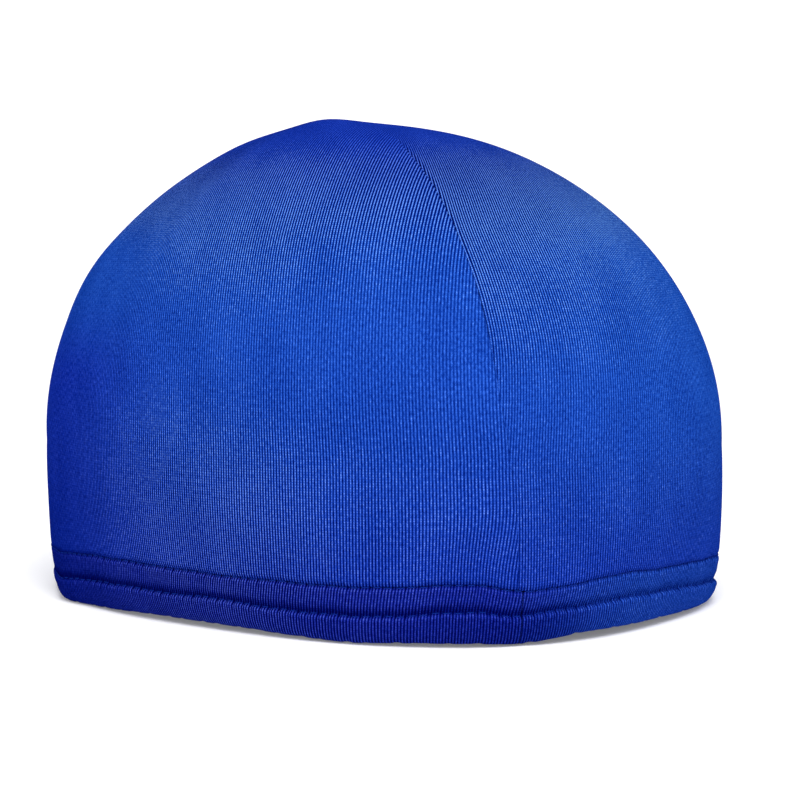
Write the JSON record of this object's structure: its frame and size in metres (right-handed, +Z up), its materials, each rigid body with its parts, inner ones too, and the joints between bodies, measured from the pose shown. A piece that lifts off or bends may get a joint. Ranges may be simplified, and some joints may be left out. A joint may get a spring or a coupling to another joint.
{
  "type": "stretch-knit skull cap",
  "caption": "Close-fitting fine-rib stretch-knit skull cap: cut panels sewn up to a crown point over a turned-up, twin-stitched hem, open below for the head.",
  "frame": {"origin": "centre of the cap's outline in plan, on the surface that the hem rests on", "axes": "+Z up to the crown, the front of the cap towards -Y, the wearer's left side towards +X"},
  "size_m": [0.148, 0.19, 0.1266],
  "materials": {
    "panel_knit": "royal blue fine-rib stretch knit with a soft satin sheen",
    "hem_knit": "the same knit folded double and sewn with two rows of matching thread"
  },
  "bodies": {
    "root": {"front_panel": "panel_knit", "back_panel": "panel_knit", "left_side_panel": "panel_knit", "right_side_panel": "panel_knit", "hem_band": "hem_knit"}
  },
  "joints": []
}
